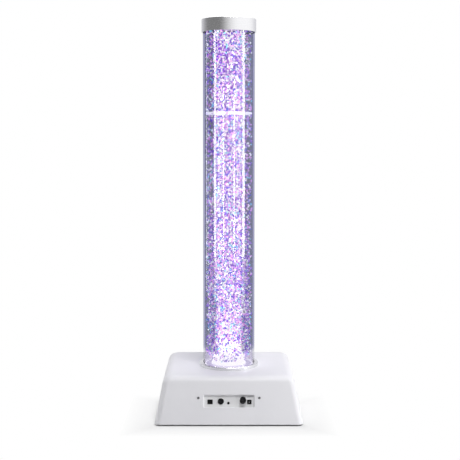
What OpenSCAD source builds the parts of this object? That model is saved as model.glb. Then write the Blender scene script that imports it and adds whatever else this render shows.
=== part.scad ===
// Bubble tube floor lamp: a clear water column on a square base, lit and aerated from below.
// Millimetres. The origin is on the floor under the middle of the base, +Z is up and the front is -Y.

/* [Base housing] */
// Width and depth of the square base at its lower edge
base_w = 410; // [400:1:430]
// Width that the sloping sides reach at the height of the top face
base_top_w = 366; // [355:1:375]
// Distance from the tube's axis that the steeper front reaches at the height of the top face
front_top = 143; // [138:1:155]
// Height of the top face above the floor
base_h = 125; // [122:1:135]
// Plan radius of the four corners
corner_r = 16; // [8:1:25]
// Radius of the rounding between the sides and the top face
crown_r = 28; // [20:1:30]
// Wall thickness of the housing
shell_t = 3.5; // [2.5:0.5:5]
// Height of the rubber feet
foot_h = 4; // [3:1:8]
// Thickness of the bottom board
plate_t = 6; // [4:1:8]

/* [Tube] */
// Outer diameter of the clear tube
tube_od = 150; // [140:1:160]
// Wall thickness of the clear tube
tube_wall = 5; // [3:0.5:8]
// Length of the clear tube
tube_len = 1060; // [400:10:1800]
// Thickness of the disc that closes the tube's lower end
floor_t = 8; // [5:1:12]

/* [Cap] */
// How far the cap's wall stands out beyond the tube
cap_proud = 3.75; // [3:0.25:8]
// How far the cap's skirt comes down over the tube
cap_skirt = 27; // [15:1:60]
// Thickness of the cap's top
cap_lid_t = 2.5; // [2:0.5:6]

/* [Control recess] */
// Width of the recess in the front
panel_w = 140.5; // [137:0.5:150]
// Height of the recess along the sloping front
panel_h = 33.5; // [33:0.5:40]
// Depth of the recess floor behind the front face
panel_depth = 6; // [5:0.5:14]
// Height of the middle of the recess above the floor
panel_z = 62; // [60:0.5:66]
// Diameter of the flow knob at its foot
knob_d = 18; // [14:0.5:19]
// Height of the flow knob
knob_h = 15.5; // [10:0.5:25]
// Diameter of the colour button's rim
button_d = 17.4; // [15:0.1:20]

/* [Hidden] */

$fn = 96;
HULL_FN = 32;
CORNERS = [[1, 1], [-1, 1], [-1, -1], [1, -1]];
past = 1; // how far a cutting shape runs past the face it cuts

// Base: the sides and the back lean in by `side_slope` from the vertical, the front by `front_slope`
side_slope = atan((base_w - base_top_w) / 2 / (base_h - foot_h));
front_slope = atan((base_w / 2 - front_top) / (base_h - foot_h));
plate_z = foot_h + plate_t;
plate_gap = 0.4;
plate_corner_r = 14;
foot_r = 15;
foot_at = 152;
foot_pocket_r = 6;
foot_pocket_h = 2.5;
block_from = 160;
block_h = 30;
cover_screw_at = 176;
cover_hole_r = tube_od / 2 + 3;

// Tube and what it stands in
tube_r = tube_od / 2;
bore_r = tube_r - tube_wall;
ledge_z = 58;
ledge_t = 8;
ledge_r = 60;
gasket_t = 3;
tube_z = ledge_z + gasket_t;
tube_top = tube_z + tube_len;
floor_z = base_h - 3;
water_z = floor_z + floor_t;
fit = 0.4; // side clearance between the tube and the parts around it
socket_r = tube_r + 10;
socket_wall_r = tube_r + 2;
socket_top = base_h - 12;
flange_r = tube_r + 25;
flange_t = 6;
slot_w = 18;
slot_h = 34;
socket_screw_r = 93;
collar_r = 86;
collar_h = 9;
collar_spigot = 8;
collar_edge = 2;

// Light
led_disc_r = 64;
led_disc_t = 1.6;
led_gap = 20;
heat_t = 3;
heat_wall = 4;
heat_z = floor_z - led_gap;
cable_hole_at = [0, -44];
led_hole_r = 9;
led_rings = [[32, 8], [54, 16]];
led_w = 5;

// Air line
stem_r = 6;
elbow_r = 7.5;
elbow_z = 42;
barb_r = 2.3;
hose_r = 4;
hose_bore_r = 2.6;
hose_bend = 35;
valve_x = 130;
valve_y = 61;
valve_len = 26;
barb_len = 12;
pump_y = 135;
pump_w = 110;
pump_d = 58;
pump_split = 46;
pump_top = 58;
pump_foot_h = 7;
dome_r = 28;
dome_h = 10;
dome_wall = 2.5;

// Controls, as [across, up the slope] from the middle of the recess
tray_floor = -panel_depth;
tray_t = 2.5;
tray_back = tray_floor - tray_t;
draft = 0.8;
panel_r = 2.5;
rim = 1.4;
tray_screw_at = [84.7, 9];
switch_at = [-52.2, -0.8];
button_at = [-22.4, 0.8];
jack_at = [-1.3, -4.2];
knob_at = [39.2, 2.7];
inlet_at = [56.8, -1.1];
switch_size = [14.6, 12.6];
inlet_size = [12.2, 11.8];
rocker_tilt = 8;
rocker_half = 4.75;
rocker_w = 7.8;
pocket = [10.7, 8.4];
rocker_axis = tray_floor - 1.2;
button_cap_r = 6.35;
shaft_r = 3;
running = 0.05; // clearance around a turning shaft
jack_r = 1.8;
jack_len = 15;

// Electronics
board_size = [130, 60, 1.6];
board_y = -130;
board_z = plate_z + 12;
board_top = board_z + board_size[2];
post_inset = 5;
headers = [[-47, 6], [-21, 6], [-25, 22], [36, 6], [0, 22], [54, 6]];
header_h = 8;

// Cap
liner_t = 6;
cap_gasket_t = 2;
cap_r = tube_r + cap_proud;
cap_bore_r = tube_r + 0.5;
cap_z = tube_top - cap_skirt;
cap_top = tube_top + cap_gasket_t + liner_t + cap_lid_t;
cap_edge = 2;
plug_wall = 5.5;
plug_len = 15;

// From the middle of the housing to its outer face at height z: at the sides and back, and in front
function half_at(z) = base_w / 2 - (z - foot_h) * tan(side_slope);
function front_at(z) = base_w / 2 - (z - foot_h) * tan(front_slope);

// ---- Shared shapes ----

module ring(r_in, r_out, h) {
    difference() {
        cylinder(r = r_out, h = h);
        translate([0, 0, -past]) cylinder(r = r_in, h = h + 2 * past);
    }
}

module rounded_rect(w, h, r) {
    square([w - 2 * r, h], center = true);
    square([w, h - 2 * r], center = true);
    for (c = CORNERS)
        translate([c[0] * (w / 2 - r), c[1] * (h / 2 - r)]) circle(r);
}

module rounded_plate(w, h, t, r) {
    linear_extrude(t) rounded_rect(w, h, r);
}

// Four copies, one in each quarter, `at` from the middle
module in_corners(at) {
    for (c = CORNERS) translate([c[0] * at, c[1] * at, 0]) children();
}

// The front face's own frame: X across, Y up the slope, Z out of the face, 0 on the face
module on_front(at = [0, 0], out = 0) {
    translate([0, -front_at(panel_z), panel_z])
        rotate([90 - front_slope, 0, 0])
            translate([at[0], at[1], out]) children();
}

// A pan-head screw whose head stands on z = 0, with a cross recess
module screw(head_r, head_h, shank_r, len) {
    recess_w = head_r * 0.35;
    difference() {
        union() {
            cylinder(r1 = head_r, r2 = head_r * 0.7, h = head_h);
            translate([0, 0, -len]) cylinder(r = shank_r, h = len + head_h / 2);
        }
        for (a = [0, 90]) rotate(a)
            translate([-head_r * 0.55, -recess_w / 2, head_h * 0.45])
                cube([head_r * 1.1, recess_w, head_h]);
    }
}

module hex_nut(across_flats, bore, h) {
    difference() {
        cylinder(r = across_flats / 2 / cos(30), h = h, $fn = 6);
        translate([0, 0, -past]) cylinder(r = bore, h = h + 2 * past);
    }
}

// Points of a smooth curve through `p`, with `n` steps between each two
function smooth_path(p, n = 5) = let (k = len(p) - 1) concat(
    [for (i = [0 : k - 1], s = [0 : n - 1]) let (
        t = s / n,
        a = p[max(i - 1, 0)],
        b = p[i],
        c = p[i + 1],
        d = p[min(i + 2, k)]
    ) 0.5 * (2 * b + (c - a) * t + (2 * a - 5 * b + 4 * c - d) * t * t
        + (3 * b - a - 3 * c + d) * t * t * t)],
    [p[k]]
);

function unit(v) = v / norm(v);

// Direction of travel at each point of a path
function headings(p) = let (k = len(p) - 1)
    [for (i = [0 : k]) unit(p[min(i + 1, k)] - p[max(i - 1, 0)])];

// A side direction at each point, carried along the path without twist
function sides_along(t, i = 0, u = [0.3, 0.5, 0.8]) = i == len(t) ? [] :
    let (w = unit(u - (u * t[i]) * t[i])) concat([w], sides_along(t, i + 1, w));

function ring_points(p, r, n) = let (t = headings(p), w = sides_along(t))
    [for (i = [0 : len(p) - 1], j = [0 : n - 1])
        p[i] + r * (cos(360 * j / n) * w[i] + sin(360 * j / n) * cross(t[i], w[i]))];

function skin_faces(rings, n, from = 0) = [
    for (i = [0 : rings - 2], j = [0 : n - 1], half = [0, 1])
        let (a = from + i * n + j, b = from + i * n + (j + 1) % n)
            half == 0 ? [a, a + n, b + n] : [a, b + n, b]
];

function flipped(faces) = [for (f = faces) [f[2], f[1], f[0]]];

// The flat ring at one end of a hose, between the outer ring at `a` and the inner one at `b`
function end_faces(a, b, n) = [
    for (j = [0 : n - 1], half = [0, 1]) let (k = (j + 1) % n)
        half == 0 ? [a + j, a + k, b + k] : [a + j, b + k, b + j]
];

// A solid cable along a path
module cable(p, r, n = 8) {
    rings = len(p);
    polyhedron(
        points = ring_points(p, r, n),
        faces = concat(
            skin_faces(rings, n),
            [for (j = [1 : n - 2]) [0, j, j + 1]],
            [for (j = [1 : n - 2]) [(rings - 1) * n, (rings - 1) * n + j + 1, (rings - 1) * n + j]]
        )
    );
}

// A hollow hose along a path
module hose(p, r_out, r_in, n = 12) {
    rings = len(p);
    inner = rings * n;
    last = (rings - 1) * n;
    polyhedron(
        points = concat(ring_points(p, r_out, n), ring_points(p, r_in, n)),
        faces = concat(
            skin_faces(rings, n),
            flipped(skin_faces(rings, n, inner)),
            end_faces(0, inner, n),
            flipped(end_faces(last, inner + last, n))
        )
    );
}

// A quarter turn of radius r about c in a level plane, from angle a0 to a1
function level_arc(c, r, a0, a1, n = 8) =
    [for (i = [0 : n]) let (a = a0 + (a1 - a0) * i / n) c + r * [cos(a), sin(a), 0]];

// ---- Base ----

// The housing's tapered form, `inset` inside its outer face and run down by `below`, as level slices
module tapered_form(inset = 0, below = 0) {
    slice_t = 0.01;
    low_z = foot_h - below;
    high_z = base_h - crown_r;
    side_c = half_at(high_z) - crown_r / cos(side_slope);
    front_c = front_at(high_z) - crown_r / cos(front_slope);
    r = crown_r - inset;
    plan_r = corner_r - inset;
    steps = 6;
    rise = concat(
        side_slope, (side_slope + front_slope) / 2,
        [for (i = [0 : steps]) front_slope + (90 - front_slope) * i / steps]
    );
    // [height, reach to the sides and back, reach to the front]
    slices = concat(
        [[low_z, half_at(low_z) - inset / cos(side_slope), front_at(low_z) - inset / cos(front_slope)]],
        [for (a = rise) [high_z + r * sin(a) - slice_t, side_c + r * cos(a), front_c + r * cos(a)]]
    );
    hull() for (s = slices, c = CORNERS)
        translate([c[0] * (s[1] - plan_r), c[1] > 0 ? s[1] - plan_r : plan_r - s[2], s[0]])
            cylinder(r = plan_r, h = slice_t, $fn = HULL_FN);
}

module base_cover() {
    color("whitesmoke") difference() {
        tapered_form();
        tapered_form(inset = shell_t, below = past);
        translate([0, 0, base_h - shell_t - past]) cylinder(r = cover_hole_r, h = shell_t + 2 * past);
        on_front(out = -shell_t - past)
            rounded_plate(panel_w, panel_h, shell_t + 2 * past, panel_r);
        // Bevel round the cut-out
        on_front() hull() {
            translate([0, 0, -rim]) rounded_plate(panel_w, panel_h, 0.01, panel_r, $fn = HULL_FN);
            rounded_plate(panel_w + 2 * rim, panel_h + 2 * rim, past, panel_r + rim, $fn = HULL_FN);
        }
        for (sx = [-1, 1])
            on_front([sx * tray_screw_at[0], tray_screw_at[1]], -shell_t - past)
                cylinder(r = 2.2, h = shell_t + 2 * past);
    }
}

module base_plate() {
    side = half_at(plate_z) - shell_t / cos(side_slope) - plate_gap;
    front = front_at(plate_z) - shell_t / cos(front_slope) - plate_gap;
    vent = [60, 6];
    color("dimgray") difference() {
        translate([0, (side - front) / 2, foot_h])
            rounded_plate(2 * side, side + front, plate_t, plate_corner_r);
        in_corners(foot_at) translate([0, 0, foot_h - past])
            cylinder(r = 2.1, h = plate_t + 2 * past);
        in_corners(cover_screw_at) translate([0, 0, foot_h - past])
            cylinder(r = 2.1, h = plate_t + 2 * past);
        for (a = [45 : 90 : 359]) rotate(a)
            translate([socket_screw_r, 0, foot_h - past]) cylinder(r = 2.6, h = plate_t + 2 * past);
        // Air intake under the pump
        for (row = [-1, 0, 1])
            translate([0, pump_y + row * 14, foot_h - past])
                rounded_plate(vent[0], vent[1], plate_t + 2 * past, vent[1] / 2 - 0.01);
    }
}

module rubber_feet() {
    color("#202020") in_corners(foot_at) difference() {
        cylinder(r1 = foot_r - 1, r2 = foot_r, h = foot_h);
        translate([0, 0, -past]) cylinder(r = foot_pocket_r, h = foot_pocket_h + past);
        cylinder(r = 2.1, h = foot_h + past);
    }
}

module foot_screws() {
    color("silver") in_corners(foot_at) translate([0, 0, foot_pocket_h])
        rotate([180, 0, 0]) screw(4.5, 2, 2, foot_h - foot_pocket_h + plate_t + 4);
}

module cover_blocks() {
    color("white") difference() {
        intersection() {
            tapered_form(inset = shell_t + 0.05, below = past);
            in_corners((block_from + base_w / 2) / 2) translate([0, 0, plate_z + block_h / 2])
                cube([base_w / 2 - block_from, base_w / 2 - block_from, block_h], center = true);
        }
        in_corners(cover_screw_at) translate([0, 0, plate_z - past]) cylinder(r = 2, h = 15 + past);
    }
}

module cover_screws() {
    color("silver") in_corners(cover_screw_at) translate([0, 0, foot_h])
        rotate([180, 0, 0]) screw(4, 2, 1.95, plate_t + 14);
}

// ---- Tube foot ----

module tube_socket() {
    color("#303236") difference() {
        union() {
            rotate_extrude() polygon([
                [ledge_r, ledge_z - ledge_t], [ledge_r, ledge_z], [tube_r + fit, ledge_z],
                [tube_r + fit, socket_top], [socket_r, socket_top],
                [socket_r, plate_z + flange_t], [flange_r, plate_z + flange_t],
                [flange_r, plate_z], [socket_wall_r, plate_z], [socket_wall_r, ledge_z - ledge_t]
            ]);
            // Ribs that brace the wall on the flange, either side of each screw
            for (a = [22.5 : 45 : 359]) rotate(a) rotate([90, 0, 0]) translate([0, 0, -2])
                linear_extrude(4) polygon([
                    [socket_r - 1, plate_z + flange_t - 1], [flange_r - 2, plate_z + flange_t - 1],
                    [flange_r - 2, plate_z + flange_t + 2], [socket_r, plate_z + flange_t + 34],
                    [socket_r - 1, plate_z + flange_t + 34]
                ]);
        }
        // Ways out for the hose and for the light's cable
        for (a = [0, 270]) rotate(a)
            translate([socket_wall_r - 3, -slot_w / 2, plate_z + flange_t])
                cube([socket_r - socket_wall_r + 6, slot_w, slot_h]);
        for (a = [45 : 90 : 359]) rotate(a)
            translate([socket_screw_r, 0, plate_z - past]) cylinder(r = 2.6, h = flange_t + 2 * past);
    }
}

module socket_screws() {
    color("silver") for (a = [45 : 90 : 359]) rotate(a)
        translate([socket_screw_r, 0, plate_z + flange_t]) screw(4.6, 3, 2.5, flange_t + plate_t - 1);
}

module tube_gasket() {
    color("#181818") translate([0, 0, ledge_z]) ring(bore_r - 0.5, tube_r, gasket_t);
}

module collar_ring() {
    r_in = tube_r + fit;
    color("silver") rotate_extrude() {
        translate([r_in, base_h]) square([collar_r - collar_edge - r_in, collar_h]);
        translate([r_in, base_h]) square([collar_r - r_in, collar_h - collar_edge]);
        translate([collar_r - collar_edge, base_h + collar_h - collar_edge]) circle(collar_edge);
        translate([r_in, base_h - collar_spigot])
            square([cover_hole_r - 0.3 - r_in, collar_spigot + 0.5]);
    }
}

module tube() {
    color("lightblue", 0.35) translate([0, 0, tube_z]) ring(bore_r, tube_r, tube_len);
}

module tube_floor() {
    color("lightblue", 0.35) translate([0, 0, floor_z]) ring(stem_r + 0.1, bore_r, floor_t);
}

// ---- Light ----

// A turned cup, upside down on the socket's ledge, that carries the light and spreads its heat
module heat_plate() {
    cup_r = bore_r - 1;
    color("silver") difference() {
        translate([0, 0, ledge_z]) cylinder(r = cup_r, h = heat_z - ledge_z);
        translate([0, 0, ledge_z - past])
            cylinder(r = cup_r - heat_wall, h = heat_z - ledge_z - heat_t + past);
        translate([0, 0, heat_z - heat_t - past]) cylinder(r = led_hole_r, h = heat_t + 2 * past);
        translate([cable_hole_at[0], cable_hole_at[1], heat_z - heat_t - past])
            cylinder(r = 4, h = heat_t + 2 * past);
    }
}

module led_board() {
    color("white") translate([0, 0, heat_z]) difference() {
        cylinder(r = led_disc_r, h = led_disc_t);
        translate([0, 0, -past]) cylinder(r = led_hole_r, h = led_disc_t + 2 * past);
    }
}

module leds() {
    color("violet") for (row = led_rings, i = [0 : row[1] - 1])
        rotate(360 * (i + 0.5) / row[1]) translate([row[0], 0, heat_z + led_disc_t]) {
            translate([-led_w / 2, -led_w / 2, 0]) cube([led_w, led_w, 1.2]);
            translate([0, 0, 1.1]) cylinder(r1 = 2, r2 = 1.2, h = 0.7);
        }
}

// ---- Air line ----

module air_fitting() {
    color("#e8e8e8") difference() {
        union() {
            translate([0, 0, water_z]) cylinder(r = 12, h = 3);
            translate([0, 0, elbow_z]) cylinder(r = stem_r, h = water_z - elbow_z + 1);
            translate([0, 0, elbow_z - 8]) cylinder(r = elbow_r, h = 26);
            translate([0, 0, elbow_z]) rotate([0, 90, 0]) cylinder(r = 5, h = 15);
            translate([0, 0, elbow_z]) rotate([0, 90, 0]) cylinder(r = barb_r, h = 15 + barb_len);
        }
        translate([0, 0, elbow_z]) cylinder(r = 1.4, h = water_z - elbow_z + 3 + past);
        translate([0, 0, elbow_z]) rotate([0, 90, 0]) cylinder(r = 1.4, h = 30);
    }
}

module fitting_washer() {
    color("#181818") translate([0, 0, floor_z - 1.5]) ring(stem_r + 0.2, 12, 1.5);
}

module fitting_nut() {
    color("#e8e8e8") translate([0, 0, floor_z - 1.5 - 7]) hex_nut(20, stem_r + 0.1, 7);
}

// A perforated dome over the air inlet
module air_diffuser() {
    color("white") translate([0, 0, water_z]) difference() {
        union() {
            cylinder(r = dome_r, h = dome_h - 2);
            translate([0, 0, dome_h - 2]) cylinder(r1 = dome_r, r2 = dome_r - 4, h = 2);
        }
        translate([0, 0, -past]) cylinder(r = dome_r - dome_wall, h = dome_h - dome_wall + past);
        for (row = [[7, 6], [14, 12], [21, 18]], i = [0 : row[1] - 1])
            rotate(360 * i / row[1]) translate([row[0], 0, 0]) cylinder(r = 0.9, h = dome_h + past);
    }
}

module fitting_hose() {
    start = [16, 0, elbow_z];
    bend = level_arc([valve_x - hose_bend, hose_bend, elbow_z], hose_bend, -90, 0);
    stop = [valve_x, valve_y - valve_len / 2 - 0.5, elbow_z];
    color("ivory") hose(concat([start], bend, [stop]), hose_r, hose_bore_r);
}

module pump_hose() {
    start = [valve_x, valve_y + valve_len / 2 + 0.5, elbow_z];
    bend = level_arc([valve_x - hose_bend, pump_y - hose_bend, elbow_z], hose_bend, 0, 90);
    stop = [pump_w / 2 + 6, pump_y, elbow_z];
    color("ivory") hose(concat([start], bend, [stop]), hose_r, hose_bore_r);
}

// In-line valve along Y with a spigot at each end
module check_valve() {
    color("lightgreen") translate([valve_x, valve_y, elbow_z]) rotate([90, 0, 0]) {
        cylinder(r = 6.5, h = valve_len, center = true);
        cylinder(r = 8, h = 8, center = true);
        cylinder(r = barb_r, h = valve_len + 2 * barb_len, center = true);
    }
}

module air_pump() {
    color("#2b2f36") {
        translate([0, pump_y, plate_z + pump_foot_h])
            rounded_plate(pump_w, pump_d, pump_split - plate_z - pump_foot_h, 10);
        translate([0, pump_y, elbow_z]) rotate([0, 90, 0]) cylinder(r = 4, h = pump_w / 2 + 5);
        translate([0, pump_y, elbow_z]) rotate([0, 90, 0])
            cylinder(r = barb_r, h = pump_w / 2 + 5 + barb_len);
    }
}

module pump_lid() {
    color("#3a3f48") translate([0, pump_y, pump_split]) {
        rounded_plate(pump_w, pump_d, 4, 10);
        rounded_plate(pump_w - 6, pump_d - 6, pump_top - pump_split - 2, 8);
        for (i = [-4 : 4])
            translate([i * 10 - 1.5, -pump_d / 2 + 8, 4])
                cube([3, pump_d - 16, pump_top - pump_split - 4]);
    }
}

module pump_feet() {
    color("#181818") translate([0, pump_y, plate_z])
        for (c = CORNERS) translate([c[0] * 42, c[1] * 18, 0])
            cylinder(r1 = 7, r2 = 5.5, h = pump_foot_h);
}

// ---- Controls ----

module control_tray() {
    back = -shell_t - tray_t;
    color("white") difference() {
        union() {
            on_front(out = back) rounded_plate(188, 54, tray_t, 6);
            on_front() hull() {
                translate([0, 0, back]) rounded_plate(panel_w + 4, panel_h + 4, 0.01, 5, $fn = HULL_FN);
                translate([0, 0, tray_back])
                    rounded_plate(panel_w + 4 - 2 * draft, panel_h + 4 - 2 * draft, 0.01, 4, $fn = HULL_FN);
            }
            for (sx = [-1, 1]) on_front([sx * tray_screw_at[0], tray_screw_at[1]], back - 8)
                cylinder(r = 5, h = 8 + tray_t / 2);
        }
        on_front() hull() {
            translate([0, 0, -shell_t]) rounded_plate(panel_w, panel_h, past, panel_r, $fn = HULL_FN);
            translate([0, 0, tray_floor])
                rounded_plate(panel_w - 2 * draft, panel_h - 2 * draft, 0.01, panel_r, $fn = HULL_FN);
        }
        for (sx = [-1, 1]) on_front([sx * tray_screw_at[0], tray_screw_at[1]], back - 9)
            cylinder(r = 2, h = 9 + tray_t + past);
        on_front(switch_at, tray_back - past) linear_extrude(tray_t + 2 * past)
            square([12.8, 10.2], center = true);
        on_front(inlet_at, tray_back - past) linear_extrude(tray_t + 2 * past)
            square([9.8, 9.8], center = true);
        on_front(button_at, tray_back - past) cylinder(r = 7.6, h = tray_t + 2 * past);
        on_front(jack_at, tray_back - past) cylinder(r = 3.4, h = tray_t + 2 * past);
        on_front(knob_at, tray_back - past) cylinder(r = 3.6, h = tray_t + 2 * past);
    }
}

module tray_screws() {
    color("gray") for (sx = [-1, 1])
        on_front([sx * tray_screw_at[0], tray_screw_at[1]], 0.02)
            screw(3.5, 1.7, 1.9, shell_t + tray_t + 7);
}

// Housing of the rocker switch: a rim on the tray's floor and a box behind it
module switch_body() {
    depth = 13;
    color("#151515") on_front(switch_at) difference() {
        union() {
            translate([0, 0, tray_floor]) rounded_plate(switch_size[0], switch_size[1], 1.4, 1);
            translate([-12.6 / 2, -5, tray_floor - depth]) cube([12.6, 10, depth + 0.5]);
        }
        translate([-pocket[0] / 2, -pocket[1] / 2, tray_floor - 5.5])
            cube([pocket[0], pocket[1], 5.5 + 2 * past]);
        translate([0, 0, rocker_axis]) rotate([90, 0, 0])
            cylinder(r = 0.8 + running, h = rocker_w + 1.3, center = true);
    }
}

// The rocker, tipped to its off position, with a hollow top and a pivot through its middle
module switch_rocker() {
    color("#202020") on_front(switch_at) translate([0, 0, rocker_axis])
        rotate([0, rocker_tilt, 0]) {
            rotate([90, 0, 0]) linear_extrude(rocker_w, center = true) polygon([
                [-rocker_half, -0.6], [-rocker_half, 3.9], [-rocker_half + 0.5, 4.2],
                [0, 3.3], [rocker_half - 0.5, 4.2], [rocker_half, 3.9],
                [rocker_half, -0.6], [1.6, -2.4], [-1.6, -2.4]
            ]);
            rotate([90, 0, 0]) cylinder(r = 0.8, h = rocker_w + 1.1, center = true);
        }
}

module switch_terminals() {
    color("gray") on_front(switch_at) for (x = [-4, 0, 4])
        translate([x - 0.4, -2.4, tray_floor - 13 - 6]) cube([0.8, 4.8, 6]);
}

// Rim, barrel and well of the push button
module button_body() {
    depth = 14;
    color("#151515") on_front(button_at) difference() {
        union() {
            translate([0, 0, tray_floor]) cylinder(r1 = button_d / 2, r2 = button_d / 2 - 0.8, h = 2.6);
            translate([0, 0, tray_floor - depth]) cylinder(r = 7.4, h = depth + 0.5);
        }
        translate([0, 0, tray_floor - 10]) cylinder(r = button_cap_r + 0.1, h = 10 + 3 + past);
    }
}

module button_nut() {
    color("#303030") on_front(button_at, tray_back - 3.5) hex_nut(19, 7.5, 3.5);
}

// The moving cap, with a rounded rim and a shallow dish
module colour_button() {
    stem = 7.2;
    top = 5.2;
    dish_r = 9;
    color("#1c1c1c") on_front(button_at, tray_floor) difference() {
        rotate_extrude() {
            translate([0, -stem]) square([button_cap_r, stem + top - 1]);
            translate([0, top - 1.5]) square([button_cap_r - 1, 1.5]);
            translate([button_cap_r - 1, top - 1]) circle(1);
        }
        translate([0, 0, top + dish_r - 0.9]) sphere(r = dish_r);
    }
}

module jack_socket() {
    color("#101010") on_front(jack_at) difference() {
        union() {
            translate([0, 0, tray_back - 0.1]) cylinder(r = 3.3, h = tray_t + 1.5);
            translate([-5, -5, tray_back - 15]) cube([10, 10, 15]);
        }
        translate([0, 0, tray_floor + 1.4 - jack_len]) cylinder(r = jack_r, h = jack_len + past);
    }
}

module flow_pot() {
    color("#8a8d92") on_front(knob_at) difference() {
        union() {
            translate([0, 0, tray_back - 11]) cylinder(r = 8.2, h = 11);
            translate([0, 0, tray_back - 0.5]) cylinder(r = 3.5, h = tray_t + 3.4);
        }
        translate([0, 0, tray_back - 8]) cylinder(r = shaft_r + running - 1, h = 20);
    }
}

module pot_nut() {
    color("silver") on_front(knob_at, tray_floor) hex_nut(10, 3.6, 2.2);
}

// The turning shaft: thin through the bush, full size in the knob
module knob_shaft() {
    color("#b0b4b8") on_front(knob_at) {
        translate([0, 0, tray_back - 7]) cylinder(r = shaft_r - 1, h = tray_t + 12);
        translate([0, 0, tray_floor + 4.2]) cylinder(r = shaft_r, h = 8);
    }
}

// The flow knob: fluted, slightly tapered, hollow beneath, with a dish and a pointer groove on top
module flow_knob() {
    low = 0.4;
    top_r = knob_d / 2 - 0.8;
    flutes = 20;
    color("#1a1a1a") on_front(knob_at, tray_floor) difference() {
        union() {
            translate([0, 0, low]) cylinder(r1 = knob_d / 2, r2 = top_r, h = knob_h - low - 1);
            translate([0, 0, knob_h - 1]) cylinder(r1 = top_r, r2 = top_r - 1, h = 1);
        }
        translate([0, 0, -past]) cylinder(r = 6.8, h = 3.4 + past);
        translate([0, 0, 3]) cylinder(r = shaft_r, h = 4.2 + 8 - 3);
        translate([0, 0, knob_h + 11.2]) sphere(r = 12);
        translate([-0.6, 2.5, knob_h - 1.5]) cube([1.2, knob_d, 2]);
        for (i = [0 : flutes - 1]) rotate(360 * (i + 0.5) / flutes)
            translate([knob_d / 2 + 0.35, 0, 1.6]) cylinder(r = 0.8, h = knob_h);
    }
}

// Low-voltage power socket: a square rim, a box behind it and a round well for the plug
module inlet_body() {
    depth = 14;
    color("#151515") on_front(inlet_at) difference() {
        union() {
            translate([0, 0, tray_floor]) rounded_plate(inlet_size[0], inlet_size[1], 1.6, 1);
            translate([-4.8, -4.8, tray_floor - depth]) cube([9.6, 9.6, depth + 0.5]);
        }
        translate([0, 0, tray_floor - 8]) cylinder(r = 2.9, h = 10 + past);
        translate([0, 0, tray_floor - 10]) cylinder(r = 1.55, h = 4);
    }
}

module inlet_pin() {
    color("gray") on_front(inlet_at, tray_floor - 10) {
        cylinder(r = 1.5, h = 2);
        translate([0, 0, 1.5]) cylinder(r = 1.05, h = 9);
    }
}

// ---- Electronics ----

module at_posts() {
    translate([0, board_y, 0]) for (c = CORNERS)
        translate([c[0] * (board_size[0] / 2 - post_inset), c[1] * (board_size[1] / 2 - post_inset), 0])
            children();
}

// Middle of a header's top
function header_top(h) = [h[0], board_y + h[1], board_top + header_h];

module control_board() {
    color("darkgreen") difference() {
        translate([0, board_y, board_z]) rounded_plate(board_size[0], board_size[1], board_size[2], 2);
        at_posts() translate([0, 0, board_z - past]) cylinder(r = 1.6, h = 4);
    }
}

module board_standoffs() {
    color("white") at_posts() translate([0, 0, plate_z]) difference() {
        cylinder(r = 4, h = board_z - plate_z, $fn = 6);
        translate([0, 0, 4]) cylinder(r = 1.55, h = board_z);
    }
}

module board_screws() {
    color("silver") at_posts() translate([0, 0, board_top]) screw(2.8, 1.6, 1.5, 8);
}

// What stands on the control board: plug headers, driver chip, coil and capacitors
module board_parts() {
    color("#3c3c3c") translate([0, board_y, board_top]) {
        for (h = headers) translate([h[0] - 6, h[1] - 3.5, 0]) cube([12, 7, header_h]);
        translate([-42, -22, 0]) cube([14, 10, 2.4]);
        for (x = [-5, 8]) translate([x, -14, 0]) cylinder(r = 5, h = 13);
        translate([28, -14, 0]) cylinder(r = 6.5, h = 6);
    }
}

// A place given in the front face's frame, `out` from the face
function front_point(at, out) = [
    at[0],
    -front_at(panel_z) + at[1] * sin(front_slope) - out * cos(front_slope),
    panel_z + at[1] * cos(front_slope) + out * sin(front_slope)
];

// Three points in a line, so that a cable starts or ends square to what it meets
function lead_in(from, way, step = 3) = [for (i = [0 : 2]) from + i * step * way];
function lead_out(from, way, step = 3) = let (p = lead_in(from, way, step)) [p[2], p[1], p[0]];

// Leads from the backs of the switch, the button, the flow control and the power inlet to their
// headers on the board
module panel_wires() {
    inward = front_point([0, 0], -1) - front_point([0, 0], 0);
    // [control, distance of its back behind the recess floor, header]
    leads = [
        [switch_at + [-4, 0], 19, headers[0]],
        [button_at, 14, headers[1]],
        [knob_at, tray_t + 11, headers[3]],
        [inlet_at, 14, headers[5]]
    ];
    color("firebrick") for (l = leads)
        cable(smooth_path(concat(
            lead_in(front_point(l[0], tray_floor - l[1]), inward, 2.5),
            lead_out(header_top(l[2]), [0, 0, 1], 2.5)
        ), 4), 1.4);
}

module led_cable() {
    color("firebrick") cable(smooth_path(concat(
        lead_in([cable_hole_at[0], cable_hole_at[1], heat_z - heat_t], [0, 0, -1]),
        [[0, -46, 72], [0, -54, 48], [0, -70, 36], [0, -88, 39], [0, -101, 46]],
        lead_out(header_top(headers[4]), [0, 0, 1])
    ), 4), 2);
}

module pump_cable() {
    color("firebrick") cable(smooth_path(concat(
        lead_in([-pump_w / 2, pump_y, 30], [-1, 0, 0], 5),
        [[-100, 105, 20], [-122, 50, 16], [-122, -20, 16], [-104, -72, 20], [-72, -100, 34],
            [-38, -109, 46]],
        lead_out(header_top(headers[2]), [0, 0, 1])
    ), 4), 2.5);
}

// ---- Cap ----

module cap() {
    color("silver") rotate_extrude() difference() {
        union() {
            translate([0, cap_z]) square([cap_r - cap_edge, cap_top - cap_z]);
            translate([0, cap_z]) square([cap_r, cap_top - cap_z - cap_edge]);
            translate([cap_r - cap_edge, cap_top - cap_edge]) circle(cap_edge);
        }
        translate([-past, cap_z - past]) square([cap_bore_r + past, cap_top - cap_lid_t - cap_z + past]);
    }
}

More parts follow.
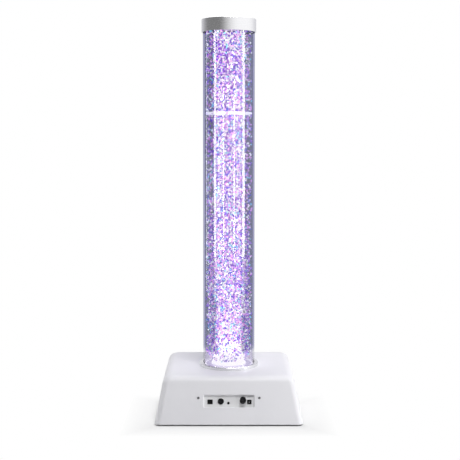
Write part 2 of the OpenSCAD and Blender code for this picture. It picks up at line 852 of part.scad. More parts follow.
// Moulded plug under the cap's top: a disc with a ring that drops into the tube
module cap_liner() {
    plug_r = bore_r - 0.6;
    disc_z = tube_top + cap_gasket_t;
    color("white") rotate_extrude() {
        translate([0, disc_z]) square([cap_bore_r, liner_t]);
        translate([plug_r - plug_wall, tube_top - plug_len])
            square([plug_wall, plug_len + cap_gasket_t + 1]);
    }
}

module cap_gasket() {
    color("#181818") translate([0, 0, tube_top]) ring(bore_r, tube_r, cap_gasket_t);
}

base_cover();
base_plate();
rubber_feet();
foot_screws();
cover_blocks();
cover_screws();
collar_ring();
tube();
tube_floor();
tube_gasket();
tube_socket();
socket_screws();
heat_plate();
led_board();
leds();
air_fitting();
fitting_washer();
fitting_nut();
air_diffuser();
fitting_hose();
check_valve();
pump_hose();
air_pump();
pump_lid();
pump_feet();
control_tray();
tray_screws();
switch_body();
switch_rocker();
switch_terminals();
button_body();
button_nut();
colour_button();
jack_socket();
flow_pot();
pot_nut();
knob_shaft();
flow_knob();
inlet_body();
inlet_pin();
control_board();
board_standoffs();
board_screws();
board_parts();
panel_wires();
led_cable();
pump_cable();
cap();
cap_liner();
cap_gasket();
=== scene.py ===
"""Looks of the bubble tube floor lamp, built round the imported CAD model. Metres, +Z up, front towards -Y."""
import math

import bmesh
import bpy
import numpy as np
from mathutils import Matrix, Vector, noise

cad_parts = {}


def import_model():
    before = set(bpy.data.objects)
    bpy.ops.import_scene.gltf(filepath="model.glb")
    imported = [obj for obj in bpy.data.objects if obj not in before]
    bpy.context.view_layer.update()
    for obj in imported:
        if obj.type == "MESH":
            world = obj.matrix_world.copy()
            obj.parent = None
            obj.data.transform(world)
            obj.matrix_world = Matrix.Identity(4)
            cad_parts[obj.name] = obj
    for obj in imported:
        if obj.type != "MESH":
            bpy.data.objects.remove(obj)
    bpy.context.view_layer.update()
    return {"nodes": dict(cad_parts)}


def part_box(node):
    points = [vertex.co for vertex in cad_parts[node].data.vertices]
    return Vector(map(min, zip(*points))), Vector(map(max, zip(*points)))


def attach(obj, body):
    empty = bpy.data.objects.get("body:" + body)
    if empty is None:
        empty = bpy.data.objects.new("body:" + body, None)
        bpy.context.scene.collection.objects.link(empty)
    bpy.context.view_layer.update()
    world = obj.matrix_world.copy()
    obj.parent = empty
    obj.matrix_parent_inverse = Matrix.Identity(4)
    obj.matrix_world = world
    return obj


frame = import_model()
nodes = frame["nodes"]
rng = np.random.default_rng(20)

# The water in the tube
BORE_R = 0.070
WATER_R = 0.0695
FLOOR_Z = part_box("tube_floor")[1].z
PLUG_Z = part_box("cap_liner")[0].z
WATER_Z = 0.862
WATER_GAP = 0.0004

# The froth on it
FROTH_R = 0.067
FROTH_HALF = 0.0036

# Half width of the column's dense middle at each height: wide at the inlet, a narrow jet, a steady column
JET_Z = [0.132, 0.145, 0.17, 0.20, 0.24, 0.28, 0.32, 0.38]
JET_R = [0.050, 0.044, 0.034, 0.025, 0.018, 0.023, 0.031, 0.037]

# Heights over which the look of the lit foot gives way to the look of the column above it
WALL_FOOT = (0.166, 0.180)
GLOW_FOOT = (0.160, 0.182)
JET_FOOT = (0.20, 0.30)


# ---- Camera ----

CAMERA_BACK = 2.809
CAMERA_UP = 0.787
CAMERA_TILT = 4.01


def make_camera():
    """The photograph's view: the tilt is in degrees below level."""
    data = bpy.data.cameras.new("camera")
    data.sensor_width = 36
    data.lens = 75.5
    data.shift_x = 0.0025
    data.shift_y = -0.05
    cam = bpy.data.objects.new("camera", data)
    cam.location = (0, -CAMERA_BACK, CAMERA_UP)
    cam.rotation_euler = (math.radians(90 - CAMERA_TILT), 0, 0)
    bpy.context.scene.collection.objects.link(cam)
    bpy.context.scene.camera = cam


# ---- Node trees ----

# Most values of a noise texture lie between these
NOISE_LOW, NOISE_HIGH = 0.3, 0.7


class Nodes:
    """Short calls that build one node tree, of a material or of the world."""

    def __init__(self, owner, output):
        owner.use_nodes = True
        self.owner = owner
        self.tree = owner.node_tree
        self.tree.nodes.clear()
        self.out = self.add(output)

    def add(self, kind, inputs=None):
        """A new node, with some of its inputs linked or set."""
        node = self.tree.nodes.new(kind)
        for key, value in (inputs or {}).items():
            self.put(node.inputs[key], value)
        return node

    def put(self, socket, value):
        """Link a socket to another, or set it. Colours come as three numbers."""
        if isinstance(value, bpy.types.NodeSocket):
            self.tree.links.new(value, socket)
        elif socket.type == "RGBA":
            socket.default_value = (*value, 1)
        else:
            socket.default_value = value

    def surface(self, socket):
        """End the tree in this shader, and give back the material or world it belongs to."""
        self.put(self.out.inputs["Surface"], socket)
        return self.owner

    def coords(self, kind="Object"):
        return self.add("ShaderNodeTexCoord").outputs[kind]

    def axes(self, kind="Object"):
        split = self.add("ShaderNodeSeparateXYZ", {"Vector": self.coords(kind)})
        return [split.outputs[axis] for axis in "XYZ"]

    def stretched(self, scale):
        mapping = self.add("ShaderNodeMapping", {"Vector": self.coords(), "Scale": scale})
        return mapping.outputs["Vector"]

    def noise(self, scale, detail=3.0, rough=0.5, stretch=None):
        at = self.stretched(stretch) if stretch else self.coords()
        inputs = {"Scale": scale, "Detail": detail, "Roughness": rough, "Vector": at}
        return self.add("ShaderNodeTexNoise", inputs).outputs["Fac"]

    def cells(self, scale, at):
        """Distance from the middle of each cell."""
        return self.add("ShaderNodeTexVoronoi", {"Scale": scale, "Vector": at}).outputs["Distance"]

    def ramp(self, fac, *stops):
        """Colours at given places, blended between them."""
        r = self.add("ShaderNodeValToRGB", {"Fac": fac})
        els = r.color_ramp.elements
        while len(els) < len(stops):
            els.new(0.5)
        for el, (place, colour) in zip(els, stops):
            el.position = place
            el.color = (*colour, 1)
        return r.outputs["Color"]

    def tones(self, fac, low, high):
        """A noise as colours from low to high."""
        return self.ramp(fac, (NOISE_LOW, low), (NOISE_HIGH, high))

    def span(self, fac, low, high, start=NOISE_LOW, end=NOISE_HIGH):
        """low where fac is at its start, high where it is at its end; without those, fac is a noise."""
        inputs = {"Value": fac, "From Min": start, "From Max": end, "To Min": low, "To Max": high}
        return self.add("ShaderNodeMapRange", inputs).outputs["Result"]

    def bump(self, height, distance, strength, edge):
        """Grain on a surface whose edges look rounded by the radius edge."""
        bevel = self.add("ShaderNodeBevel", {"Radius": edge})
        bevel.samples = 4
        rounded = bevel.outputs["Normal"]
        inputs = {"Height": height, "Distance": distance, "Strength": strength, "Normal": rounded}
        return self.add("ShaderNodeBump", inputs).outputs["Normal"]

    def mix(self, fac, a, b):
        """Shader a where fac is 0, b where it is 1."""
        return self.add("ShaderNodeMixShader", {0: fac, 1: a, 2: b}).outputs[0]

    def blend(self, fac, a, b):
        """Colour a where fac is 0, b where it is 1."""
        m = self.add("ShaderNodeMix")
        m.data_type = "RGBA"
        for index, value in ((0, fac), (6, a), (7, b)):
            self.put(m.inputs[index], value)
        return m.outputs[2]

    def math(self, op, *values):
        m = self.add("ShaderNodeMath", dict(enumerate(values)))
        m.operation = op
        return m.outputs[0]

    def foot(self, z_lo, z_hi):
        """0 below z_lo and 1 above z_hi."""
        return self.span(self.axes()[2], 0.0, 1.0, z_lo, z_hi)

    def from_axis(self):
        """Distance from the tube's axis, 1 at its bore."""
        squares = [self.math("MULTIPLY", k, k) for k in self.axes()[:2]]
        return self.math("DIVIDE", self.math("SQRT", self.math("ADD", *squares)), BORE_R)


def new_material(name):
    return Nodes(bpy.data.materials.new(name), "ShaderNodeOutputMaterial")


def shade(colour, k):
    return tuple(min(1.0, x * k) for x in colour)


# ---- Materials of solids ----

def plastic(name, colour, rough, grain=900, edge=0.0006, metallic=0.0, specular=0.5):
    """Moulded or turned surface: faint colour variation, fine grain, softened edges."""
    vary = 0.03
    n = new_material(name)
    fine = n.noise(grain, 2.0)
    p = n.add("ShaderNodeBsdfPrincipled", {
        "Base Color": n.tones(n.noise(14, 2.0), shade(colour, 1 - vary), shade(colour, 1 + vary)),
        "Roughness": n.span(fine, rough * 0.85, min(1.0, rough * 1.15)),
        "Metallic": metallic,
        "Specular IOR Level": specular,
        "Normal": n.bump(fine, 0.00004, 0.5, edge),
    })
    return n.surface(p.outputs[0])


def housing():
    """Satin white moulding with a very fine leather grain."""
    n = new_material("housing_white")
    broad = n.noise(9)
    p = n.add("ShaderNodeBsdfPrincipled", {
        "Base Color": n.tones(broad, (0.795, 0.793, 0.825), (0.82, 0.818, 0.85)),
        "Roughness": n.span(broad, 0.40, 0.48),
        "Specular IOR Level": 0.45,
        "Normal": n.bump(n.cells(620, n.coords()), 0.00003, 0.5, 0.0008),
    })
    return n.surface(p.outputs[0])


def brushed(name, colour, rough, aniso=0.7):
    """Metal brushed round the axis: lines that run level round the wall."""
    n = new_material(name)
    lines = n.noise(4.0, 6.0, 0.7, stretch=(2, 2, 900))
    tangent = n.add("ShaderNodeTangent")
    tangent.direction_type = "RADIAL"
    tangent.axis = "Z"
    p = n.add("ShaderNodeBsdfPrincipled", {
        "Base Color": n.tones(lines, shade(colour, 0.93), shade(colour, 1.05)),
        "Roughness": n.span(lines, rough * 0.8, rough * 1.2),
        "Metallic": 1.0,
        "Anisotropic": aniso,
        "Tangent": tangent.outputs["Tangent"],
        "Normal": n.bump(lines, 0.00002, 0.4, 0.0005),
    })
    return n.surface(p.outputs[0])


def clear_wall():
    """Acrylic tube: clear when looked straight through, with painted shade where the sight line runs along the
    wall.
    At its lit foot one lighter tint stands for all of that: painted light from the lamp there."""
    n = new_material("clear_acrylic")
    facing = n.add("ShaderNodeLayerWeight", {"Blend": 0.5}).outputs["Facing"]
    # Painted shade: the wall's colour darkens as the sight line runs along it
    tint = n.ramp(facing, (0.0, (0.96, 0.96, 0.96)), (0.12, (0.94, 0.94, 0.95)), (0.2, (0.645, 0.65, 0.70)),
                  (0.5, (0.63, 0.645, 0.715)), (0.57, (0.63, 0.645, 0.715)), (0.61, (0.60, 0.605, 0.73)),
                  (0.8, (0.58, 0.585, 0.72)), (1.0, (0.50, 0.50, 0.63)))
    # Painted light: one lighter tint over the lamp-lit foot
    tint = n.blend(n.foot(*WALL_FOOT), (0.88, 0.875, 0.90), tint)
    clear = n.add("ShaderNodeBsdfTransparent", {"Color": tint})
    gloss = n.add("ShaderNodeBsdfGlossy", {"Roughness": 0.0})
    fresnel = n.add("ShaderNodeFresnel", {"IOR": 1.49})
    most = n.span(n.noise(22, stretch=(1, 1, 0.15)), 0.084, 0.096)
    share = n.math("MINIMUM", fresnel.outputs[0], most)
    return n.surface(n.mix(share, clear.outputs[0], gloss.outputs[0]))


def lit_disc():
    """Lit in the middle, mirror-like round it, with a glowing rim that is a painted highlight on the ring's
    edge.
    """
    off, on = (0, 0, 0), (1, 1, 1)
    n = new_material("lit_floor")
    glow = n.add("ShaderNodeEmission", {
        "Color": n.tones(n.noise(60), (0.95, 0.92, 1.0), (1.0, 0.98, 1.0)),
        "Strength": 1.7,
    })
    mirror = n.add("ShaderNodeBsdfPrincipled", {
        "Base Color": (0.85, 0.80, 0.92),
        "Metallic": 1.0,
        "Roughness": 0.16,
    })
    # The glow past 0.95 of the bore is the rim's painted highlight
    ring = n.ramp(n.from_axis(), (0.66, off), (0.78, on), (0.93, on), (0.95, off))
    return n.surface(n.mix(ring, glow.outputs[0], mirror.outputs[0]))


# ---- Materials of water, bubbles and lamps ----

def water():
    """The water's skin: nearly clear, with a faint violet light, and brighter where the lamp shines in."""
    n = new_material("water")
    clear = n.add("ShaderNodeBsdfTransparent", {"Color": (0.985, 0.985, 0.99)})
    cloud = n.noise(16, 4.0, stretch=(1, 1, 0.5))
    faint = n.ramp(cloud, (0.35, (0.10, 0.10, 0.17)), (0.65, (0.16, 0.13, 0.33)))
    glow = n.add("ShaderNodeEmission", {"Color": n.blend(n.foot(*WALL_FOOT), (0.80, 0.74, 1.0), faint)})
    share = n.blend(n.foot(*GLOW_FOOT), (0.30, 0.30, 0.30), (0.015, 0.015, 0.015))
    return n.surface(n.mix(share, clear.outputs[0], glow.outputs[0]))


def lit(name, strength, rough, pattern):
    """A surface lit from inside the column. pattern gives its tree the colour of the light."""
    n = new_material(name)
    p = n.add("ShaderNodeBsdfPrincipled", {
        "Base Color": (0.05, 0.05, 0.06),
        "Emission Color": pattern(n),
        "Emission Strength": strength,
        "Roughness": rough,
    })
    return n.surface(p.outputs[0])


def own_tint(n):
    """The colour of the painted glow that each bubble's points carry."""
    tint = n.add("ShaderNodeAttribute")
    tint.attribute_name = "tint"
    return tint.outputs["Color"]


def even(colour):
    """A pattern of one colour with faint clouds."""
    return lambda n: n.tones(n.noise(60), shade(colour, 0.9), colour)


def swarm_pattern(n):
    """Painted glow of a mass of very small bubbles, in cells: pale inside, violet to blue between them, and
    white at the jet.
    """
    hue = n.noise(34, rough=0.6)
    deep = n.ramp(hue, (0.25, (0.08, 0.12, 0.50)), (0.42, (0.15, 0.07, 0.56)),
                  (0.58, (0.26, 0.09, 0.60)), (0.75, (0.50, 0.16, 0.66)))
    pale = n.ramp(hue, (0.3, (0.86, 0.97, 1.0)), (0.5, (1.0, 0.94, 1.0)), (0.7, (1.0, 0.88, 1.0)))
    inside = n.span(n.cells(200, n.stretched((1, 1, 0.8))), 1.0, 0.0, 0.42, 0.60)
    return n.blend(n.foot(*JET_FOOT), (1.4, 1.38, 1.4), n.blend(inside, deep, pale))


def froth_pattern(n):
    """Painted glow of the foam: white, with a few violet hollows."""
    return n.ramp(n.noise(110, 2.0), (0.37, (0.40, 0.20, 0.62)), (0.46, (1.0, 0.97, 1.0)))


# ---- Mesh helpers ----

def new_object(name, verts, faces, material, smooth=True):
    mesh = bpy.data.meshes.new(name)
    mesh.from_pydata([tuple(v) for v in verts], [], faces)
    if smooth:
        mesh.shade_smooth()
    obj = bpy.data.objects.new(name, mesh)
    bpy.context.scene.collection.objects.link(obj)
    mesh.materials.append(material)
    return obj


def revolve(profile, n, wobble=None):
    """Surface of revolution from (r, z) points, closed where r is 0. wobble moves each point by (dr, dz)."""
    verts, faces, rows = [], [], []
    for r, z in profile:
        if r == 0:
            rows.append([len(verts)])
            verts.append((0.0, 0.0, z))
            continue
        row = []
        for j in range(n):
            a = 2 * math.pi * j / n
            dr, dz = wobble(a, r, z) if wobble else (0, 0)
            row.append(len(verts))
            verts.append(((r + dr) * math.cos(a), (r + dr) * math.sin(a), z + dz))
        rows.append(row)
    for lower, upper in zip(rows, rows[1:]):
        for j in range(n):
            k = (j + 1) % n
            if len(lower) == 1:
                faces.append((lower[0], upper[k], upper[j]))
            elif len(upper) == 1:
                faces.append((lower[j], lower[k], upper[0]))
            else:
                faces.append((lower[j], lower[k], upper[k], upper[j]))
    return verts, faces


def ball(level):
    """Unit ball's vertices and triangles."""
    bm = bmesh.new()
    bmesh.ops.create_icosphere(bm, subdivisions=level, radius=1)
    v = np.array([x.co for x in bm.verts])
    f = np.array([[x.index for x in face.verts] for face in bm.faces])
    bm.free()
    return v, f


def many_balls(name, places, sizes, tall, tints, material):
    """One mesh of many bubbles. places (n,3), sizes (n,), tall (n,) height over width, tints (n,3)."""
    lean_spread = 0.35
    v, f = BALL
    count = len(places)
    # Each bubble is flattened or drawn out, and leans a little
    lean = rng.normal(0, lean_spread, (count, 2))
    pts = v[None, :, :] * sizes[:, None, None]
    pts[:, :, 2] *= tall[:, None]
    pts[:, :, 0] += pts[:, :, 2] * lean[:, 0:1]
    pts[:, :, 1] += pts[:, :, 2] * lean[:, 1:2]
    pts = (pts + places[:, None, :]).reshape(-1, 3)
    tris = (f[None, :, :] + (np.arange(count) * len(v))[:, None, None]).reshape(-1, 3)
    mesh = bpy.data.meshes.new(name)
    mesh.vertices.add(len(pts))
    mesh.vertices.foreach_set("co", pts.astype(np.float32).ravel())
    mesh.loops.add(len(tris) * 3)
    mesh.loops.foreach_set("vertex_index", tris.astype(np.int32).ravel())
    mesh.polygons.add(len(tris))
    mesh.polygons.foreach_set("loop_start", np.arange(0, len(tris) * 3, 3, dtype=np.int32))
    mesh.update(calc_edges=True)
    mesh.shade_smooth()
    colour = np.ones((len(pts), 4), np.float32)
    colour[:, :3] = np.repeat(tints, len(v), axis=0)
    mesh.color_attributes.new("tint", "FLOAT_COLOR", "POINT").data.foreach_set("color", colour.ravel())
    mesh.materials.append(material)
    obj = bpy.data.objects.new(name, mesh)
    bpy.context.scene.collection.objects.link(obj)
    return obj


BALL = ball(2)


# ---- Water, froth and bubbles ----

# Colours of the light the bubbles give off: painted glow, as the bubbles are no lamps
BUBBLE_TINTS = np.array([
    (1.0, 0.97, 0.98),  # white
    (0.84, 0.36, 0.86),  # pink
    (0.42, 0.22, 0.78),  # light violet
    (0.17, 0.04, 0.58),  # violet
    (0.05, 0.07, 0.50),  # blue
    (0.20, 0.62, 0.84),  # cyan
])
# Where the share of each tint after white begins, and where the last one ends
TINT_STARTS = np.array([0, 0.19, 0.39, 0.54, 0.62])
TINT_END = 0.7


def jet_radius(z):
    return np.interp(z, JET_Z, JET_R)


def inside_water(r, size):
    """Radii no larger than keeps bubbles of this size clear of the water's skin."""
    clearance = 0.0012
    return np.minimum(r, WATER_R - clearance - size)


def tints_for(r, z):
    """Colour of each bubble's painted glow: white more often near the axis and most often at the jet, else
    another tint.
    """
    jet_end, jet_fade = 0.22, 0.08
    outermost = 0.066
    n = len(r)
    t = np.clip(r / outermost, 0, 1)
    hot = np.clip((jet_end - z) / jet_fade, 0, 1)
    kind = rng.random(n)
    white = 0.46 - 0.28 * t + 0.50 * hot * (1 - 0.6 * t)
    rest = (1 - white) / TINT_END
    starts = white[:, None] + rest[:, None] * TINT_STARTS
    out = BUBBLE_TINTS[(kind[:, None] > starts).sum(axis=1)]
    return out * rng.uniform(0.80, 1.10, (n, 1))


def scatter(name, count, radii, heights, sizes, material, from_jet):
    """Bubbles between two radii, spread over the height. from_jet starts them at the dense middle."""
    drawn_out, drawn_out_share = 2.2, 0.06
    z = rng.uniform(*heights, count)
    inner = jet_radius(z) if from_jet else np.full(count, radii[0])
    r = np.sqrt(rng.uniform(inner ** 2, radii[1] ** 2))
    a = rng.uniform(0, 2 * math.pi, count)
    size = rng.uniform(*sizes, count) * rng.uniform(0.75, 1.0, count)
    r = inside_water(r, size)
    places = np.stack([r * np.cos(a), r * np.sin(a), z], axis=1)
    tall = rng.uniform(0.7, 1.4, count)
    tall[rng.random(count) < drawn_out_share] *= drawn_out
    obj = many_balls(name, places, size, tall, tints_for(r, z), material)
    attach(obj, "base")


def bands(name, pieces, count, radii, heights, sizes, material, from_jet=False):
    """One kind of bubbles as several pieces above one another, each of count bubbles."""
    low, high = heights
    step = (high - low) / pieces
    for k in range(pieces):
        z = low + k * step
        scatter(f"bubbles_{name}_{k + 1}", count, radii, (z, z + step), sizes, material, from_jet)


def bubbles():
    inner = lit("bubbles_inner", 1.05, 0.12, own_tint)
    outer = lit("bubbles_outer", 1.75, 0.12, own_tint)
    low, high = FLOOR_Z + 0.004, PLUG_Z - 0.006
    bands("fountain", 2, 1050, (0, 0.058), (low + 0.010, 0.33), (0.0017, 0.0031), inner, from_jet=True)
    bands("inner", 4, 1900, (0.035, 0.047), (0.29, high), (0.0018, 0.0032), inner)
    bands("flank", 2, 900, (0.042, 0.060), (low + 0.020, 0.55), (0.0017, 0.0032), outer)
    bands("outer", 4, 1100, (0.046, 0.067), (low + 0.024, high), (0.0017, 0.0033), outer)


def swarm():
    """The dense middle of the column, with a lumpy surface."""
    low, top, step = FLOOR_Z + 0.0015, PLUG_Z - 0.012, 0.004
    heights = np.arange(low, top, step)
    profile = [(0, low)] + [(float(jet_radius(z)), float(z)) for z in heights] + [(0, top)]

    def wobble(a, r, z):
        p = Vector((math.cos(a) * 0.04, math.sin(a) * 0.04, z))
        k = min(1.0, r / JET_R[-1])
        return (k * (noise.noise(p * 28) * 0.006 + noise.noise(p * 110) * 0.003), 0)

    verts, faces = revolve(profile, 88, wobble)
    obj = new_object("bubble_swarm", verts, faces, lit("swarm", 1.05, 0.3, swarm_pattern))
    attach(obj, "base")


def water_column():
    """The water's skin, smooth round its wall and flat at its ends."""
    low = FLOOR_Z + WATER_GAP
    verts, faces = revolve([(0, low), (WATER_R, low), (WATER_R, WATER_Z), (0, WATER_Z)], 96)
    obj = new_object("water", verts, faces, water(), smooth=False)
    for p in obj.data.polygons:
        p.use_smooth = abs(p.normal.z) < 0.5
    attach(obj, "base")


def froth():
    """White foam on the water's surface: a disc with rounded edges and an uneven face."""
    r, rough_by = FROTH_R, 0.0012
    z0, z1 = WATER_Z - FROTH_HALF, WATER_Z + FROTH_HALF
    profile = [(0, z0), (r * 0.5, z0), (r * 0.9, z0), (r - 0.001, z0 + 0.0006), (r, z0 + 0.002),
               (r, z1 - 0.002), (r - 0.001, z1 - 0.0006), (r * 0.9, z1), (r * 0.5, z1), (0, z1)]

    def wobble(a, rr, z):
        p = Vector((math.cos(a) * rr, math.sin(a) * rr, z))
        return (noise.noise(p * 160) * rough_by, noise.noise(p * 190) * rough_by)

    verts, faces = revolve(profile, 128, wobble)
    obj = new_object("froth", verts, faces, lit("froth", 2.1, 0.5, froth_pattern))
    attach(obj, "base")


# ---- Surroundings ----

# Narrow lamps that only the clear tube reflects, as upright bars:
# name, azimuth, distance, width, lower end, upper end, radiance
GLINTS = [
    ("glint_left", -65.8, 1.6, 0.17, 0.26, 1.5, 15),
    ("glint_left_foot", -65.8, 1.6, 0.15, 0.07, 0.26, 4),
    ("glint_right", 70.2, 1.62, 0.25, 0.26, 1.5, 15),
    ("glint_right_foot", 70.2, 1.62, 0.22, 0.05, 0.26, 5),
    ("edge_left", -117, 1.6, 0.13, 0.10, 1.5, 6),
]
# Thin lines between them: azimuth, radiance
LINES = [(-45.5, 8), (-36, 8), (-25.2, 24), (24.3, 24), (49.4, 6)]
LINE_DISTANCE, LINE_WIDTH, LINE_LOW, LINE_HIGH = 3.2, 0.12, 0.05, 1.15


def area_light(name, place, look_at, width, height, radiance):
    """Rectangular lamp of the same brightness at any size."""
    data = bpy.data.lights.new(name, "AREA")
    data.shape = "RECTANGLE"
    data.size, data.size_y = width, height
    data.energy = radiance * math.pi * width * height
    obj = bpy.data.objects.new(name, data)
    obj.location = place
    way = Vector(look_at) - Vector(place)
    obj.rotation_euler = way.to_track_quat("-Z", "Y").to_euler()
    bpy.context.scene.collection.objects.link(obj)
    return obj


def strip(name, azimuth, distance, width, z_lo, z_hi, radiance):
    """Upright strip light; azimuth is measured from the camera's side, positive to the right."""
    a = math.radians(azimuth)
    x, y = distance * math.sin(a), -distance * math.cos(a)
    z = (z_lo + z_hi) / 2
    return area_light(name, (x, y, z), (0, 0, z), width, z_hi - z_lo, radiance)


def keep_off(lamp, *objects):
    """Leave some objects out of a lamp's light."""
    group = bpy.data.collections.new(lamp.name + "_receivers")
    for o in objects:
        group.objects.link(o)
    for entry in group.collection_objects:
        entry.light_linking.link_state = "EXCLUDE"
    lamp.light_linking.receiver_collection = group


def lights(ground):
    """Soft lamps for the solids, and narrow ones for the tube."""
    tube, cap, collar = nodes["tube"], nodes["cap"], nodes["collar_ring"]
    keep_off(strip("strip_right", 69.1, 1.6, 0.36, 0.0, 0.5, 18), tube, cap, ground)
    keep_off(strip("strip_left", -100, 2.2, 1.60, 0.02, 1.5, 1.4), tube, cap, collar)
    keep_off(area_light("key_high", (0.3, -0.95, 2.6), (0, 0, 0.1), 0.9, 0.8, 16.6), tube)
    keep_off(area_light("key_right", (1.41, -0.38, 1.45), (0, 0, 0.1), 0.6, 0.6, 1.9), tube, cap, ground)
    keep_off(area_light("top_back", (0.0, 0.9, 2.4), (0, 0, 0.2), 1.6, 1.2, 3.2), tube)
    on_tube = bpy.data.collections.new("tube_only")
    on_tube.objects.link(tube)
    glints = [strip(*values) for values in GLINTS]
    for azimuth, radiance in LINES:
        name = f"line_{round(azimuth)}"
        glints.append(strip(name, azimuth, LINE_DISTANCE, LINE_WIDTH, LINE_LOW, LINE_HIGH, radiance))
    for lamp in glints:
        lamp.light_linking.receiver_collection = on_tube


def world():
    """White to the camera and through glass. Light and reflections come from a room that is darker on the
    left, and reflections also from an even wall behind the lamp."""
    n = Nodes(bpy.data.worlds.new("studio"), "ShaderNodeOutputWorld")

    def greys(fac, *stops):
        return n.ramp(fac, *[(place, (k, k, k * 1.01)) for place, k in stops])

    def background(colour, strength):
        return n.add("ShaderNodeBackground", {"Color": colour, "Strength": strength}).outputs[0]

    x, y = [n.span(axis, 0.0, 1.0, -1.0, 1.0) for axis in n.axes("Generated")[:2]]
    path = n.add("ShaderNodeLightPath")
    seen = n.math("MAXIMUM", path.outputs["Is Camera Ray"], path.outputs["Is Transmission Ray"])
    soft = background(greys(x, (0.0, 0.45), (0.5, 0.8), (1.0, 1.0)), 0.19)
    shiny = background(greys(x, (0.0, 0.18), (0.20, 0.12), (0.28, 0.18), (0.37, 0.40), (0.50, 0.68),
                             (0.62, 0.82), (0.76, 0.96)), 1.27)
    behind = background((0.80, 0.80, 0.84), 1.0)
    shiny = n.mix(greys(y, (0.62, 0.0), (0.90, 1.0)), shiny, behind)
    room = n.mix(path.outputs["Is Glossy Ray"], soft, shiny)
    bpy.context.scene.world = n.surface(n.mix(seen, room, background((1, 1, 1), 1.0)))


def floor_material():
    """Under the lamp only the lit floor with its shadow shows. Past it the floor fades to white, sooner
    behind it."""
    n = new_material("floor")
    clouds = n.tones(n.noise(3), (0.86, 0.86, 0.86), (0.88, 0.88, 0.88))
    dull = n.add("ShaderNodeBsdfDiffuse", {"Color": clouds})
    white = n.add("ShaderNodeEmission", {"Color": (1, 1, 1)})
    across, along = n.axes()[:2]
    reach = n.math("MAXIMUM", n.math("ABSOLUTE", across), n.math("ABSOLUTE", along))
    outside = n.span(reach, 0.0, 1.0, 0.199, 0.203)
    # Painted shade: less white near the base, so the floor darkens towards the lamp whatever the light
    near = n.span(reach, 0.30, 1.0, 0.203, 0.295)
    # Painted light: behind the lamp the white covers the floor's shadow sooner
    behind = n.span(along, 0.0, 1.0, -0.02, 0.12)
    share = n.math("MULTIPLY", outside, n.math("MAXIMUM", near, behind))
    path = n.add("ShaderNodeLightPath")
    seen = n.math("MAXIMUM", path.outputs["Is Camera Ray"],
                  n.math("MAXIMUM", path.outputs["Is Glossy Ray"], path.outputs["Is Transmission Ray"]))
    return n.surface(n.mix(n.math("MULTIPLY", share, seen), dull.outputs[0], white.outputs[0]))


def floor():
    size, drop = 40, 0.0003
    corners = [(-size, -size, 0), (size, -size, 0), (size, size, 0), (-size, size, 0)]
    obj = new_object("floor", corners, [(0, 1, 2, 3)], floor_material(), smooth=False)
    obj.location.z = -drop
    return obj


# ---- The CAD nodes' materials ----

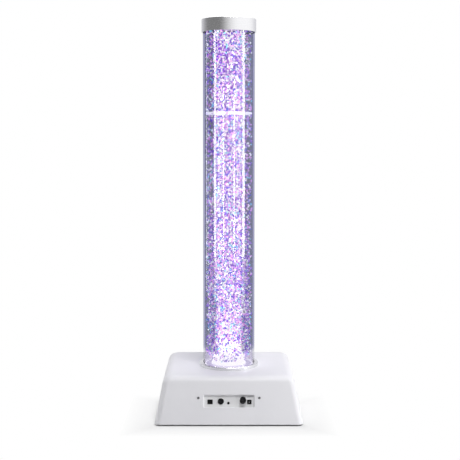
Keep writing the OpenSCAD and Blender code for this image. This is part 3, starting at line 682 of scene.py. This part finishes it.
def dress():
    """Give every CAD node its material."""
    zinc = plastic("zinc_steel", (0.55, 0.56, 0.58), 0.35, metallic=1.0)
    black = plastic("control_black", (0.005, 0.005, 0.006), 0.38, edge=0.0003, specular=0.10)
    black_satin = plastic("knob_black", (0.006, 0.006, 0.007), 0.5, edge=0.0003, specular=0.12)
    rubber = plastic("black_rubber", (0.03, 0.03, 0.03), 0.8, grain=400)
    nylon = plastic("white_nylon", (0.80, 0.80, 0.79), 0.4)
    grey = plastic("socket_grey", (0.05, 0.052, 0.056), 0.5)
    sheet = plastic("plate_aluminium", (0.68, 0.68, 0.69), 0.3, metallic=1.0)
    looks = [
        (clear_wall(), ["tube"]),
        (housing(), ["base_cover"]),
        (plastic("tray_white", (0.80, 0.80, 0.815), 0.42), ["control_tray"]),
        (brushed("trim_metal", (0.80, 0.80, 0.81), 0.24, aniso=0.3), ["collar_ring"]),
        (plastic("board_dark", (0.12, 0.12, 0.125), 0.7), ["base_plate"]),
        (brushed("brushed_aluminium", (0.80, 0.80, 0.81), 0.27), ["cap"]),
        (zinc, ["foot_screws", "cover_screws", "socket_screws", "board_screws", "pot_nut"]),
        (plastic("screw_dark", (0.16, 0.16, 0.165), 0.45, metallic=1.0), ["tray_screws"]),
        (rubber, ["rubber_feet", "tube_gasket", "fitting_washer", "pump_feet", "cap_gasket"]),
        (nylon, ["cover_blocks", "air_fitting", "fitting_nut", "board_standoffs", "cap_liner"]),
        (grey, ["tube_socket", "button_nut"]),
        (sheet, ["heat_plate", "knob_shaft"]),
        (black, ["switch_body", "switch_rocker", "button_body", "jack_socket", "inlet_body"]),
        (black_satin, ["colour_button", "flow_knob"]),
        (plastic("terminal_nickel", (0.42, 0.42, 0.41), 0.35, metallic=1.0),
         ["switch_terminals", "inlet_pin"]),
        (plastic("pot_steel", (0.5, 0.51, 0.53), 0.35, metallic=1.0), ["flow_pot"]),
        (plastic("circuit_green", (0.03, 0.18, 0.08), 0.4), ["control_board"]),
        (plastic("component_black", (0.04, 0.04, 0.04), 0.5), ["board_parts"]),
        (plastic("wire_red", (0.45, 0.04, 0.035), 0.45), ["panel_wires", "led_cable", "pump_cable"]),
        (plastic("pump_grey", (0.10, 0.115, 0.135), 0.5), ["air_pump"]),
        (plastic("pump_lid_grey", (0.15, 0.165, 0.19), 0.5), ["pump_lid"]),
        (plastic("hose_clear", (0.75, 0.75, 0.70), 0.3), ["fitting_hose", "pump_hose"]),
        (plastic("valve_green", (0.30, 0.60, 0.38), 0.25), ["check_valve"]),
        (plastic("circuit_white", (0.85, 0.85, 0.86), 0.35), ["led_board"]),
        (lit("led_violet", 1.2, 0.2, even((0.62, 0.42, 1.0))), ["leds"]),
        (lit_disc(), ["tube_floor"]),
        (lit("lit_diffuser", 1.0, 0.2, even((1.0, 0.96, 1.0))), ["air_diffuser"]),
    ]
    for material, names in looks:
        for name in names:
            nodes[name].data.materials.clear()
            nodes[name].data.materials.append(material)
    undressed = set(nodes) - {name for _, names in looks for name in names}
    assert not undressed, undressed


def smooth_curved():
    """Smooth shading on every CAD node, with the sharper edges kept."""
    sharp_from = math.radians(30)
    for o in nodes.values():
        o.data.shade_smooth()
        o.data.set_sharp_from_angle(angle=sharp_from)


bpy.context.scene.view_settings.view_transform = "Standard"
make_camera()
dress()
smooth_curved()
water_column()
froth()
swarm()
bubbles()
world()
lights(floor())
